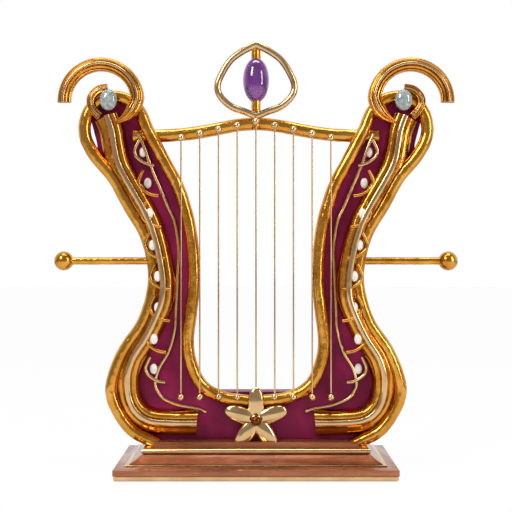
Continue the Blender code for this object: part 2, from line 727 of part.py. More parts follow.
def make_gem():
    """A barrel bead turned about the spindle, with its origin on the spindle's axis."""
    bore = SPINDLE_RADIUS + GAP
    limit = math.acos(bore / GEM_RADIUS)
    turns = [limit * (1 - step / 4) for step in range(9)]
    profile = [(GEM_RADIUS * math.cos(turn), 0.0, GEM_HALF_HEIGHT * math.sin(turn)) for turn in turns]
    mesh = bpy.data.meshes.new("gem")
    count = len(profile)
    edges = [(index, (index + 1) % count) for index in range(count)]
    mesh.from_pydata(profile, edges, [])
    gem = link(bpy.data.objects.new("gem", mesh), HARP, AMETHYST)
    gem.location = (0.0, SPINDLE_Y, up(GEM_Z))
    screw = gem.modifiers.new("Screw", 'SCREW')
    screw.steps = 16
    screw.render_steps = 16
    screw.use_merge_vertices = True
    screw.merge_threshold = 0.00001
    screw.use_smooth_shade = True


def make_flower():
    centre_z = up(FLOWER_Z)
    flower = rod_along_y("flower", 0.0, centre_z, PETAL_BACK - HUB_HEIGHT, PETAL_BACK + PETAL_HALF[1],
                         HUB_RADIUS, HARP, 10, POLISHED_GOLD)
    for index in range(PETALS):
        angle = math.tau * index / PETALS
        sunk = PETAL_BACK + PETAL_SINK + PETAL_LAP * index
        place = (PETAL_REACH * math.sin(angle), sunk, centre_z + PETAL_REACH * math.cos(angle))
        petal = ellipsoid(f"petal_{index + 1}", place, PETAL_HALF, 10, 8, CUTTERS)
        petal.rotation_euler.y = angle
        boolean(flower, petal, 'UNION')
    behind = box("behind_petals", (-0.1, PETAL_BACK, -0.1), (0.1, 0.1, 0.2), CUTTERS)
    plinth = box("petal_foot", (-0.1, -0.1, -0.1), (0.1, 0.1, PLINTH_TOP + GAP), CUTTERS)
    stem = rod_along_y("flower_stem", 0.0, centre_z, PETAL_BACK - 0.001, BOARD_REST, STEM_RADIUS,
                       CUTTERS)
    boolean(flower, behind, 'DIFFERENCE')
    boolean(flower, stem, 'UNION')
    boolean(flower, plinth, 'DIFFERENCE')
    ball = (0.0, FLOWER_BALL_Y, centre_z)
    seat = ellipsoid("flower_seat", ball, [FLOWER_BALL_RADIUS + GAP] * 3, 12, 8, CUTTERS)
    boolean(flower, seat, 'DIFFERENCE')
    ellipsoid("flower_centre", ball, [FLOWER_BALL_RADIUS] * 3, 12, 8, HARP, COPPER)


def make_strings():
    for index, x in enumerate(string_xs()):
        head = pin_ball(x)
        top = head - Vector((0.0, 0.0, BALL_RADIUS + GAP))
        if abs(x) < STRING_PITCH / 2:
            foot = up(TUBE_BOTTOM[-1][1]) + TUBE_RADIUS - MIDDLE_STRING_DEPTH
            bottom = Vector((x, MIDDLE_STRING_Y, foot))
            line = [top, Vector((x, MIDDLE_STRING_Y, foot + 0.010)), bottom]
        else:
            line = [top, Vector((x, STUD_BALL_Y, up(STUD_Z) + BALL_RADIUS + GAP))]
        wire(f"string_{index + 1}", line, STRING_RADIUS, 6, HARP, POLISHED_GOLD)


def make_tuning_pins():
    """Each pin's origin is its ball's centre, on the axis that it turns about."""
    for index, x in enumerate(string_xs()):
        length = BAR_RADIUS * 2 + (BAR_FRONT - PIN_BALL_Y) + PIN_TAIL
        turn = Vector((0.0, 1.0, 0.0)).rotation_difference(pin_axis(x))
        name = f"tuning_pin_{index + 1}"
        pin = ellipsoid(name, (0.0, 0.0, 0.0), [BALL_RADIUS] * 3, 10, 6, HARP, POLISHED_GOLD)
        shaft = rod_along_y(name + "_shaft", 0.0, 0.0, 0.0, length - PIN_TAIL / 2, PIN_RADIUS, CUTTERS, 6)
        square = box(name + "_square", (-PIN_SQUARE / 2, length - PIN_TAIL, -PIN_SQUARE / 2),
                     (PIN_SQUARE / 2, length, PIN_SQUARE / 2), CUTTERS)
        for tool in (shaft, square):
            tool.matrix_world = Matrix.Translation(pin_ball(x)) @ turn.to_matrix().to_4x4() @ tool.matrix_world
            boolean(pin, tool, 'UNION')
        pin.location = pin_ball(x)
        pin.rotation_mode = 'QUATERNION'
        pin.rotation_quaternion = turn


def make_hitch_rail():
    """The rail lies on the board's back; its studs pass through the board and the tube."""
    half = STRING_PITCH * (STRINGS - 1) / 2 + 0.005
    z = up(STUD_Z)
    back = -BOARD_FRONT + GAP
    rail = box("hitch_rail", (-half, back, z - RAIL_BELOW_STUD),
               (half, back + RAIL_THICKNESS, z + RAIL_ABOVE_STUD), HARP, POLISHED_GOLD)
    for x in stud_xs():
        stud = rod_along_y("stud", x, z, STUD_BALL_Y, back + RAIL_THICKNESS / 2, STUD_RADIUS, CUTTERS, 6)
        ball = ellipsoid("stud_ball", (x, STUD_BALL_Y, z), [BALL_RADIUS] * 3, 8, 6, CUTTERS)
        boolean(rail, stud, 'UNION')
        boolean(rail, ball, 'UNION')


make_base()
make_board()
make_frame_tubes()
make_crossbar()
make_bands()
make_scrolls()
make_vines()
make_pearls()
make_side_rods()
make_crest()
make_gem()
make_flower()
make_strings()
make_tuning_pins()
make_hitch_rail()
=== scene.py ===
"""Looks of the lyre-harp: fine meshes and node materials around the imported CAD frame."""
import math

import bmesh
import bpy
from mathutils import Matrix, Vector, noise


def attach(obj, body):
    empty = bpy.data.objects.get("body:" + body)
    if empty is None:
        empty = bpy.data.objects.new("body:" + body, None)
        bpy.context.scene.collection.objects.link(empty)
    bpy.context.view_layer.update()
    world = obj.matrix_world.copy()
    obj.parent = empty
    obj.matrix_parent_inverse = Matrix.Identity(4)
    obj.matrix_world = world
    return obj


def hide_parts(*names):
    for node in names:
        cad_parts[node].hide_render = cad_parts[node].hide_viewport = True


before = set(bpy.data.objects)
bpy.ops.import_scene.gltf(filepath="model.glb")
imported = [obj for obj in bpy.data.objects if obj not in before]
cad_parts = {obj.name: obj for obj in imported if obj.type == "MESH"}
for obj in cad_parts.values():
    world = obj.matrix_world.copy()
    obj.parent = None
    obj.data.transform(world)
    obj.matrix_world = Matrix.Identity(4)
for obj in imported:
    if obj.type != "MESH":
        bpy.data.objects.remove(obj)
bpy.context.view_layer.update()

# Millimetres in a metre, for the values that keep the drawing's millimetres.
MILLIMETRES = 1000.0

# Sizes of the CAD model in metres, and the few that only the looks have.
HARP_HEIGHT = 0.450
GAP = 0.0003
PLINTH_HALF_WIDTH = 0.1053
PLINTH_HALF_DEPTH = 0.029
BEAD_OVERHANG = 0.0114
COVE_OVERHANG = 0.0227
FILLET_OVERHANG = 0.0261
FOOT_OVERHANG = 0.0370
BAND_OVERHANG = 0.0362
BAND_REBATE = 0.0040
BAND_TOP = 0.0053
FOOT_TOP = 0.0111
SLOPE_TOP = 0.0128
FILLET_TOP = 0.0141
COVE_TOP = 0.0216
BEAD_TOP = 0.0276
PLINTH_TOP = 0.0320
BOARD_FRONT = -0.010
BOARD_REST = BOARD_FRONT - GAP
TUBE_RADIUS = 0.00665
TUBE_Y = BOARD_REST - TUBE_RADIUS
TUBE_FRONT = TUBE_Y - TUBE_RADIUS
SEAM_X = -0.006
BAR_RADIUS = 0.0069
BAR_Y = -0.008
BAR_FRONT = BAR_Y - BAR_RADIUS
BAR_HALF_LENGTH = 0.1285
STRING_PITCH = 0.0193
STRING_RADIUS = 0.0008
BALL_RADIUS = 0.0037
PIN_RADIUS = 0.0020
PIN_TAIL = 0.006
PIN_SQUARE = 0.0026
PIN_BALL_Y = TUBE_FRONT - 0.0022
STUD_RADIUS = 0.0015
STUD_BALL_Y = TUBE_FRONT - 0.0039
RAIL_ABOVE_STUD = 0.0022
RAIL_BELOW_STUD = 0.0060
RAIL_THICKNESS = 0.005
MIDDLE_STRING_Y = -0.0190
MIDDLE_STRING_DEPTH = 0.002
MIDDLE_STRING_STRAIGHT = 0.010
RAIL_OVERHANG = 0.005
BAND_INNER = 0.0120
BAND_OUTER = 0.0150
STRIP_HALF = 0.0030
STRIP_HEIGHT = 0.0190
STRIP_EDGE = 0.0008
STRIP_CROWN = 0.0002
STRIP_POLISH = 0.0014  # how far below its top the strip is polished
RIM_HEIGHT = 0.0050
RIM_FOOT = RIM_HEIGHT * 0.6
RIM_CHAMFER = 0.0010

# Sections as (across, forward): the band's two sides and the room outside the outer arm's axis
# in metres, and a scroll's in shares of its half width and depth.
INNER_RIDGE = [
    (STRIP_HALF, 0.0148), (0.0050, 0.0152), (0.0075, 0.0146), (0.0096, 0.0122), (0.0110, 0.0084),
]
OUTER_SLOPE = [
    (-0.0138, 0.0050), (-0.0115, 0.0082), (-0.0090, 0.0102), (-0.0062, 0.0116),
    (-STRIP_HALF, 0.0148),
]
OUTER_RIBBON = [(0.0, -0.004), (0.0, 0.024), (0.012, 0.024), (0.012, -0.004)]
SCROLL_SECTION = [
    (-1.0, 0.0), (-1.0, 0.55), (-0.72, 0.85), (-0.40, 0.72), (-0.22, 1.0), (0.12, 1.0),
    (0.25, 0.66), (0.62, 0.55), (0.80, 0.74), (1.0, 0.62), (1.0, 0.0),
]

# More sizes in metres.
BAND_END_SLANT = 0.0040
TRIM_INNER_X = -0.02
TRIM_TOP = 0.1
TRIM_HALF_DEPTH = 0.05
BIG_SCROLL_HALF = 0.0070
BIG_SCROLL_DEPTH = 0.0120
SMALL_SCROLL_HALF = 0.0044
SMALL_SCROLL_DEPTH = 0.0075
OPAL_HALF = (0.0090, 0.0063, 0.01085)
SCROLL_BACK = TUBE_FRONT - GAP
WIRE_RADIUS = 0.0015
VINE_LOOK_RADIUS = 0.0018
TOP_HOOK_Y = -0.0167
BOTTOM_HOOK_Y = -0.0139
BAND_HOOK_Y = TUBE_FRONT - GAP - WIRE_RADIUS
SECOND_HOOK_Y = -0.0230
PEARL_HALF = (0.0039, 0.0024, 0.0055)
ROD_RADIUS = 0.0040
ROD_BALL_RADIUS = 0.0099
ROD_SINK = 0.0006
CREST_WIRE = 0.00365
CREST_Y = -0.015
SPINDLE_RADIUS = 0.0050
SPINDLE_Y = -0.011
GEM_RADIUS = 0.0138
GEM_HALF_HEIGHT = 0.0235
PETAL_LENGTH = 0.0344
PETAL_WIDTH = 0.0174
PETAL_DOME = 0.0044
PETAL_STAGGER = 0.00002
FOLD_HEIGHT = 0.0004
HUB_HALF = (0.0072, 0.0044, 0.0072)
FLOWER_STEM_RADIUS = 0.004
PETAL_REACH = 0.0166
PETAL_BACK = TUBE_FRONT - GAP
FLOWER_BALL_RADIUS = 0.0054
FLOWER_BALL_Y = -0.0300

# Heights, places across and lengths in the drawing's millimetres.
DRAWN_HEIGHT = 450.0
BAR_END_Z = 349.0
BAR_RISE = 13.1
BAR_ARCH = 56.0
PIN_BALL_Z = 362.3
PIN_BALL_DROP = 4.2
STUD_Z = 78.4
BIG_SCROLL_CENTRE = (159.3, 382.8)
BIG_SCROLL_RADIUS = 37.7
BIG_SCROLL_TIP_RADIUS = 25.6
OPAL_CENTRE = (151.5, 383.8)
HOOK_PITCH = 32.3
HOOK_TOP_Z = 344.3
HOOK_X = [121.4, 116.4, 113.1, 109.8, 104.6, 104.6, 108.5, 110.2]
PEARL_FROM_HOOK = (-3.4, -12.4)
ROD_END = (199.6, 218.5)
ROD_FOOT_X = 110.0
SPINDLE_TOP = 441.5
GEM_Z = 407.3
FLOWER_Z = 54.4
BAND_END = (61.0, 51.5)

# The big scroll's path in degrees: where it starts, how far it turns, winds in and tapers.
BIG_SCROLL_START = -2.0
BIG_SCROLL_TURN = 236.0
BIG_SCROLL_WIND_FROM = 175.0
BIG_SCROLL_TAPER_FROM = 195.0

# Counts, indices, powers and shares.
STRINGS = 9
PETALS = 5
BOARD_PEARLS = (0, 1, 7)
BIG_SCROLL_TIP_SIZE = 0.15
BIG_SCROLL_TAPER_POWER = 1.3
BIG_SCROLL_POLISH = 0.93  # share of the height above which a scroll is polished
SMALL_SCROLL_POLISH = 0.90
PETAL_ROUNDNESS = 0.9
FOLD_PLACE = 0.55
FOLD_WIDTH = 0.06

# How fine the meshes are: sides of rods, steps along paths, (segments, rings) of balls, and how
# near points are welded.
TUBE_SIDES = 28
ROD_SIDES = 24
COPE_SIDES = 20
STEM_SIDES = 16
WIRE_SIDES = 12
TUBE_STEPS = 16
BOARD_STEPS = 8
BAND_STEPS = 6
SLOPE_STEPS = 4
HOOK_STEPS = 5
VINE_STEPS = 8
CREST_STEPS = 10
SMALL_SCROLL_STEPS = 12
SCROLL_STEPS = 110
BAR_STEPS = 160
ROD_STEPS = 60
COVE_STEPS = 8
BEAD_STEPS = 16
GEM_STEPS = 40
GEM_SIDES = 64
PETAL_STEPS = (32, 20)
OPAL_MESH = (48, 32)
PEARL_MESH = (28, 18)
ROD_BALL_MESH = (56, 36)
HUB_MESH = (32, 16)
FLOWER_BALL_MESH = (40, 24)
PIN_BALL_MESH = (36, 24)
STUD_BALL_MESH = (32, 20)
WELD = 1e-6
MIRROR_WELD = 0.00005

# Rounding of edges and corners in metres, with an angle in degrees and a share.
EDGE_BEVEL = 0.0003
EDGE_BEVEL_STEPS = 3
EDGE_BEVEL_ANGLE = 28
RAIL_BEVEL = 0.0006
COVE_SAG = 0.0008
FILLET_SEAT_DEPTH = 0.002
FOOT_BAND_CHAMFER = (0.0016, 0.0010)
CORNER_CUTS = 2
CORNER_SHARE = 0.2

# Hammer marks as (depth, size), and how dents and waviness share the depth.
TUBE_MARKS = (0.0005, 0.0085)
BAND_MARKS = (0.0003, 0.006)
ROD_MARKS = (0.0005, 0.006)
SPINDLE_MARKS = (0.0004, 0.005)
BAR_MARKS_OFFSET = 3.0
DENT_SHARPNESS = 1.4
DENT_SHARE = 0.6
WAVE_SCALE = 0.6

# Stage.
WHITE = (1.0, 1.0, 1.0, 1.0)
FLOOR_HALF = 6.0
FLOOR_Z = -0.0002
FLOOR_COLOUR = (0.86, 0.86, 0.86, 1.0)
FLOOR_GLOW = 0.96
STUDIO_FRONT = (0.36, 0.34, 0.33)
STUDIO_EDGE = (0.42, 0.60)
AMBIENT = 0.45

# Lamps as (name, place, aim, size, power, colour).
LAMPS = [
    ("key", (-0.9, -1.1, 1.3), (0.0, 0.0, 0.22), (0.5, 0.9), 16.0, (1.0, 1.0, 1.0)),
    ("fill", (1.2, -0.9, 0.7), (0.0, 0.0, 0.22), (0.3, 1.1), 9.0, (1.0, 0.95, 0.95)),
    ("top", (0.0, -0.1, 1.6), (0.0, 0.0, 0.2), (1.0, 0.4), 9.0, (1.0, 1.0, 1.0)),
]

# Camera, as in the photograph: level, looking along +Y.
CAMERA_PLACE = (0.0, -1.037, 0.2236)
CAMERA_LENS = 69.0
CAMERA_SENSOR = 36.0

# Outlines of the +X half in the drawing's millimetres, as (X, Z); a vine's are (X, Y, Z).
OUTER_ARM = [
    (94.6, 24.4), (110.2, 32.0), (127.6, 41.6), (141.1, 58.2), (149.8, 79.0), (147.7, 99.3),
    (136.2, 126.4), (117.6, 154.3), (107.6, 185.1), (106.5, 213.2), (114.9, 246.0),
    (132.6, 276.6), (147.9, 304.3), (166.6, 326.7),
]
ARM_HEAD = [
    (176.9, 346.3), (177.2, 364.0), (169.9, 379.1), (158.1, 387.4), (144.6, 389.0),
    (130.0, 384.0), (119.6, 371.8), (112.3, 354.6),
]
INNER_ARM = [
    (95.7, 323.4), (79.7, 292.2), (68.2, 250.6), (64.3, 203.8), (67.3, 167.4), (70.9, 135.2),
    (66.6, 109.2), (55.1, 88.4),
]
TUBE_BOTTOM = [(33.3, 76.4), (0.0, 72.0)]
BOARD_FOOT = (103.0, 32.3)
BOARD_HEAD = [
    (166.0, 339.1), (170.0, 355.6), (172.5, 367.0), (170.0, 379.0), (158.0, 386.5),
    (144.5, 386.9), (135.5, 380.0), (123.9, 366.5), (117.4, 355.0), (109.5, 341.0),
]
BOARD_CUT = (44.0, 81.6)
STRIP_PATH = [
    (154.1, 368.5), (148.7, 353.1), (143.0, 322.2), (133.2, 301.7), (121.3, 281.1),
    (110.5, 260.6), (103.4, 240.0), (98.8, 219.5), (95.8, 198.9), (96.8, 178.4),
    (104.3, 157.8), (114.5, 137.3), (127.3, 116.7), (132.3, 96.2), (130.3, 75.6),
    (122.3, 61.8), (108.9, 53.6), (85.3, 51.5), (56.0, 51.5),
]
SMALL_SCROLL_PATH = [
    (152.4, 396.6), (161.7, 394.6), (168.4, 388.4), (170.0, 381.2), (166.9, 374.0), (160.7, 367.3),
]
VINE_PATH = [
    (122.1, -16.7, 350.2), (115.3, -16.3, 334.4), (109.3, -15.1, 316.5), (101.1, -13.2, 297.1),
    (92.1, -11.8, 275.4), (84.7, -11.8, 258.2), (80.6, -11.8, 229.9), (81.5, -11.8, 209.0),
    (83.5, -11.8, 167.2), (84.7, -11.8, 146.3), (91.1, -11.8, 123.6), (101.2, -11.8, 106.2),
    (105.1, -11.8, 90.6), (102.1, -11.8, 81.8), (96.0, -11.8, 74.5), (79.4, -11.8, 67.6),
    (60.3, -11.8, 64.0), (51.9, -11.8, 60.9),
]
HOOK_SHAPE = [
    (0.0, 0.0), (3.7, -7.3), (4.8, -11.8), (3.0, -17.6), (-2.2, -22.1), (-8.0, -25.1),
    (-15.5, -26.5),
]
CREST_PATH = [
    (0.0, 444.0), (12.5, 437.7), (24.0, 429.9), (30.2, 422.6), (35.4, 413.8), (39.6, 403.9),
    (39.6, 395.5), (34.9, 387.2), (25.0, 378.9), (12.5, 374.2), (0.0, 369.0),
]

SCRATCH = bpy.data.collections.new("scratch")
bpy.context.scene.collection.children.link(SCRATCH)


# Node materials.

def new_material(name, **inputs):
    """A Principled material; inputs are values for the shader's own sockets."""
    material = bpy.data.materials.new(name)
    material.use_nodes = True
    shader = material.node_tree.nodes["Principled BSDF"]
    for key, value in inputs.items():
        shader.inputs[key.replace("_", " ")].default_value = value
    return material


def add(tree, kind, **values):
    """A new node; values are for its inputs."""
    node = tree.nodes.new(kind)
    for key, value in values.items():
        node.inputs[key].default_value = value
    return node


def wire_up(tree, source, output, target, socket):
    tree.links.new(source.outputs[output], target.inputs[socket])


def mix_shaders(tree, factor, output, first, second, target=None):
    """Mixes two shaders by a factor, and wires the mix to a target's surface if there is one."""
    mix = add(tree, "ShaderNodeMixShader")
    wire_up(tree, factor, output, mix, "Fac")
    wire_up(tree, first, 0, mix, 1)
    wire_up(tree, second, 0, mix, 2)
    if target:
        wire_up(tree, mix, 0, target, "Surface")
    return mix


def ramp(tree, source, output, stops):
    """Colours by the source's value; stops are (place, colour) pairs."""
    node = add(tree, "ShaderNodeValToRGB")
    elements = node.color_ramp.elements
    while len(elements) < len(stops):
        elements.new(0.5)
    for element, (place, colour) in zip(elements, stops):
        element.position = place
        element.color = (*colour, 1.0)
    wire_up(tree, source, output, node, "Fac")
    return node


def noise_texture(material, scale, detail, stretch=(1.0, 1.0, 1.0), rough=0.5):
    """Noise in the object's own metres, stretched by a scale for each axis."""
    tree = material.node_tree
    place = add(tree, "ShaderNodeTexCoord")
    mapping = add(tree, "ShaderNodeMapping", Scale=stretch)
    wire_up(tree, place, "Object", mapping, "Vector")
    texture = add(tree, "ShaderNodeTexNoise", Scale=scale, Detail=detail, Roughness=rough)
    wire_up(tree, mapping, "Vector", texture, "Vector")
    return texture


def finish_material(material, colour, roughness, height, distance, strength):
    """Wires colours and roughness, each (texture, stops), and a bump's texture into the shader."""
    tree = material.node_tree
    shader = tree.nodes["Principled BSDF"]
    rough_texture, (smooth_end, rough_end) = roughness
    greys = [(place, (value, value, value)) for place, value in (smooth_end, rough_end)]
    wire_up(tree, ramp(tree, colour[0], "Fac", colour[1]), "Color", shader, "Base Color")
    wire_up(tree, ramp(tree, rough_texture, "Fac", greys), "Color", shader, "Roughness")
    bump = add(tree, "ShaderNodeBump", Strength=strength, Distance=distance)
    wire_up(tree, height, "Fac", bump, "Height")
    wire_up(tree, bump, "Normal", shader, "Normal")
    return material


def gold(name, dark, light, smoothness, cell, depth):
    """Gilt metal: cloudy colour, worn roughness and shallow hammer marks of a given size."""
    material = new_material(name, Metallic=1.0)
    clouds = noise_texture(material, scale=55.0, detail=4.0)
    wear = noise_texture(material, scale=160.0, detail=5.0)
    marks = noise_texture(material, scale=1.0 / cell, detail=3.0, rough=0.55)
    return finish_material(material, (clouds, [(0.32, dark), (0.68, light)]),
                           (wear, [(0.3, smoothness[0]), (0.75, smoothness[1])]),
                           marks, depth, 1.0)


HAMMERED = gold("hammered_gold_look", (0.52, 0.22, 0.022), (0.74, 0.37, 0.070), (0.13, 0.24),
                0.0055, 0.00035)
POLISHED = gold("polished_gold_look", (0.60, 0.39, 0.18), (0.72, 0.50, 0.26), (0.12, 0.20),
                0.0080, 0.00003)
COPPER = gold("copper_look", (0.13, 0.035, 0.008), (0.22, 0.070, 0.018), (0.10, 0.18),
              0.0050, 0.0002)


def lacquer():
    """Crimson lacquer: cloudy depth of colour over faint upright brush marks."""
    material = new_material("crimson_lacquer_look", Specular_IOR_Level=0.12, Coat_Weight=0.05,
                            Coat_Roughness=0.2)
    clouds = noise_texture(material, scale=18.0, detail=6.0)
    wear = noise_texture(material, scale=120.0, detail=4.0)
    brushed = noise_texture(material, scale=260.0, detail=3.0, stretch=(1.0, 1.0, 0.25))
    colours = [(0.30, (0.090, 0.0015, 0.022)), (0.52, (0.200, 0.006, 0.050)),
               (0.75, (0.340, 0.016, 0.100))]
    return finish_material(material, (clouds, colours), (wear, [(0.3, 0.28), (0.7, 0.42)]),
                           brushed, 0.00015, 0.5)


def wood():
    """Copper-toned polished wood with its grain along X."""
    material = new_material("copper_wood_look", Metallic=0.45, Specular_IOR_Level=0.35,
                            Coat_Weight=0.35, Coat_Roughness=0.10)
    grain = noise_texture(material, scale=30.0, detail=8.0, stretch=(0.35, 3.0, 3.0), rough=0.62)
    wear = noise_texture(material, scale=90.0, detail=4.0, stretch=(0.4, 2.0, 2.0))
    colours = [(0.28, (0.150, 0.038, 0.016)), (0.50, (0.330, 0.105, 0.042)),
               (0.72, (0.440, 0.165, 0.075))]
    return finish_material(material, (grain, colours), (wear, [(0.3, 0.16), (0.7, 0.30)]),
                           grain, 0.00025, 0.5)


def pearl():
    """Off-white satin pearl with a soft coat."""
    material = new_material("pearl_look", Coat_Weight=0.5, Coat_Roughness=0.15,
                            Subsurface_Weight=0.15, Subsurface_Radius=(0.002, 0.0015, 0.0012),
                            Subsurface_Scale=1.0)
    clouds = noise_texture(material, scale=190.0, detail=3.0)
    colours = [(0.3, (0.72, 0.66, 0.60)), (0.7, (0.86, 0.83, 0.80))]
    return finish_material(material, (clouds, colours), (clouds, [(0.3, 0.22), (0.7, 0.36)]),
                           clouds, 0.00015, 0.6)


def stone(name, stops, scale, transmission, stretch):
    """A polished gemstone that is partly clear, with clouds of colour inside."""
    material = new_material(name, Transmission_Weight=transmission, IOR=1.5,
                            Coat_Weight=1.0, Coat_Roughness=0.03)
    body = noise_texture(material, scale, detail=5.0, stretch=stretch, rough=0.6)
    body.inputs["Distortion"].default_value = 0.6
    return finish_material(material, (body, stops), (body, [(0.3, 0.04), (0.7, 0.10)]),
                           body, 0.0001, 0.4)


LACQUER = lacquer()
WOOD = wood()
PEARL = pearl()
OPAL = stone("opal_look",
             [(0.30, (0.14, 0.20, 0.22)), (0.46, (0.30, 0.37, 0.38)), (0.58, (0.46, 0.50, 0.44)),
              (0.68, (0.72, 0.58, 0.30)), (0.80, (0.50, 0.46, 0.60))],
             scale=230.0, transmission=0.25, stretch=(1.0, 1.0, 1.0))
AMETHYST = stone("amethyst_look",
                 [(0.30, (0.060, 0.008, 0.110)), (0.50, (0.170, 0.025, 0.250)),
                  (0.66, (0.300, 0.045, 0.360)), (0.80, (0.50, 0.10, 0.42))],
                 scale=60.0, transmission=0.35, stretch=(1.0, 1.0, 0.55))
SLOT_LOOK = {
    "hammered_gold": HAMMERED, "polished_gold": POLISHED, "copper": COPPER, "pearl": PEARL,
    "crimson_lacquer": LACQUER, "copper_wood": WOOD, "opal": OPAL, "amethyst": AMETHYST,
}


# Shape helpers.

def up(z):
    """Drawing Z in millimetres to metres."""
    drawn_base = PLINTH_TOP * MILLIMETRES
    return PLINTH_TOP + (z - drawn_base) * (HARP_HEIGHT - PLINTH_TOP) / (DRAWN_HEIGHT - drawn_base)


def across(x):
    """Drawing X in millimetres to metres."""
    return x / MILLIMETRES


def front_points(outline):
    return [(across(x), up(z)) for x, z in outline]


def smooth(knots, steps):
    """Points on a Catmull-Rom curve through the knots, with this many steps between two."""
    knots = [Vector(knot) for knot in knots]
    first = knots[0] * 2 - knots[1]
    last = knots[-1] * 2 - knots[-2]
    padded = [first, *knots, last]
    points = []
    for a, b, c, d in zip(padded, padded[1:], padded[2:], padded[3:]):
        for step in range(steps):
            t = step / steps
            points.append(
                0.5 * (2 * b + (c - a) * t + (2 * a - 5 * b + 4 * c - d) * t ** 2
                       + (3 * b - a - 3 * c + d) * t ** 3)
            )
    points.append(knots[-1])
    return points


def rounded(profile):
    """Cuts the corners of a closed section, so that its edges catch the light."""
    for _ in range(CORNER_CUTS):
        cut = []
        for index, p in enumerate(profile):
            q = profile[(index + 1) % len(profile)]
            cut.append((p[0] + (q[0] - p[0]) * CORNER_SHARE, p[1] + (q[1] - p[1]) * CORNER_SHARE))
            cut.append((q[0] + (p[0] - q[0]) * CORNER_SHARE, q[1] + (p[1] - q[1]) * CORNER_SHARE))
        profile = cut
    return profile


def curve_item(name, points, dimensions, cyclic=False, sizes=None):
    data = bpy.data.curves.new(name, 'CURVE')
    data.dimensions = dimensions
    spline = data.splines.new('POLY')
    spline.points.add(len(points) - 1)
    for index, point in enumerate(points):
        place = Vector((*point, 0.0)) if len(point) == 2 else Vector(point)
        spline.points[index].co = (*place, 1.0)
        spline.points[index].radius = sizes[index] if sizes else 1.0
    spline.use_cyclic_u = cyclic
    return bpy.data.objects.new(name, data)


def evaluated_mesh(item):
    bpy.context.view_layer.update()
    depsgraph = bpy.context.evaluated_depsgraph_get()
    return bpy.data.meshes.new_from_object(item.evaluated_get(depsgraph))


def plain(item, angle):
    """Takes an object's final mesh in the harp's frame, welded; edges over the angle stay sharp."""
    mesh = evaluated_mesh(item)
    mesh.transform(item.matrix_world)
    work = bmesh.new()
    work.from_mesh(mesh)
    bmesh.ops.remove_doubles(work, verts=work.verts, dist=WELD)
    bmesh.ops.recalc_face_normals(work, faces=work.faces)
    work.to_mesh(mesh)
    work.free()
    mesh.shade_smooth()
    mesh.set_sharp_from_angle(angle=math.radians(angle))
    bpy.data.objects.remove(item)
    return mesh


def placed(name, mesh):
    item = bpy.data.objects.new(name, mesh)
    SCRATCH.objects.link(item)
    return item


def wire(points, radius, sides):
    """A round rod along points in space."""
    curve = curve_item("wire", points, '3D')
    curve.data.bevel_depth = radius
    curve.data.bevel_resolution = (sides - 4) // 2
    curve.data.use_fill_caps = True
    SCRATCH.objects.link(curve)
    return plain(curve, angle=50)


def upright(points, y):
    return [(point[0], y, point[1]) for point in points]


def board(outline, front, back):
    """A flat upright piece with a closed outline in X and Z."""
    curve = curve_item("board", outline, '2D', cyclic=True)
    curve.data.fill_mode = 'BOTH'
    curve.data.extrude = (back - front) / 2
    curve.rotation_euler.x = math.radians(90)
    curve.location.y = (front + back) / 2
    SCRATCH.objects.link(curve)
    return plain(curve, angle=30)


def fluted(path, profile, back, sizes=None):
    """A moulded strip along an upright path; its profile rises toward -Y from the back plane."""
    section = curve_item("section", profile, '2D', cyclic=True)
    SCRATCH.objects.link(section)
    curve = curve_item("fluted", path, '2D', sizes=sizes)
    curve.data.bevel_mode = 'OBJECT'
    curve.data.bevel_object = section
    curve.data.use_fill_caps = True
    curve.rotation_euler.x = math.radians(90)
    curve.location.y = back
    SCRATCH.objects.link(curve)
    mesh = plain(curve, angle=35)
    bpy.data.objects.remove(section)
    return mesh


def ellipsoid(centre, half, counts):
    """A ball stretched to its three half sizes; counts are its segments and rings."""
    mesh = bpy.data.meshes.new("ellipsoid")
    work = bmesh.new()
    bmesh.ops.create_uvsphere(work, u_segments=counts[0], v_segments=counts[1], radius=1.0)
    bmesh.ops.scale(work, vec=half, verts=work.verts)
    bmesh.ops.translate(work, vec=centre, verts=work.verts)
    work.to_mesh(mesh)
    work.free()
    mesh.shade_smooth()
    return mesh


def box(low, high, bevel):
    """A block between two corners with rounded edges."""
    low = Vector(low)
    high = Vector(high)
    mesh = bpy.data.meshes.new("box")
    work = bmesh.new()
    bmesh.ops.create_cube(work, size=1.0)
    bmesh.ops.scale(work, vec=high - low, verts=work.verts)
    bmesh.ops.translate(work, vec=(low + high) / 2, verts=work.verts)
    bmesh.ops.bevel(work, geom=work.edges, offset=bevel, segments=EDGE_BEVEL_STEPS, profile=0.5,
                    affect='EDGES')
    work.to_mesh(mesh)
    work.free()
    return mesh


def cut(mesh, tools):
    """Cuts a mesh by others with exact Booleans."""
    item = placed("cut", mesh)
    others = [placed("tool", tool) for tool in tools]
    for other in others:
        modifier = item.modifiers.new("cut", 'BOOLEAN')
        modifier.operation = 'DIFFERENCE'
        modifier.solver = 'EXACT'
        modifier.object = other
    result = plain(item, angle=35)
    for other in others:
        bpy.data.objects.remove(other)
    return result


def kept(mesh, planes):
    """Keeps what lies behind each (point, outward normal) plane and closes the cuts."""
    work = bmesh.new()
    work.from_mesh(mesh)
    for point, normal in planes:
        geometry = work.verts[:] + work.edges[:] + work.faces[:]
        found = bmesh.ops.bisect_plane(work, geom=geometry, plane_co=point, plane_no=normal,
                                       clear_outer=True)
        edges = [item for item in found["geom_cut"] if isinstance(item, bmesh.types.BMEdge)]
        bmesh.ops.holes_fill(work, edges=edges)
    work.to_mesh(mesh)
    work.free()
    return mesh


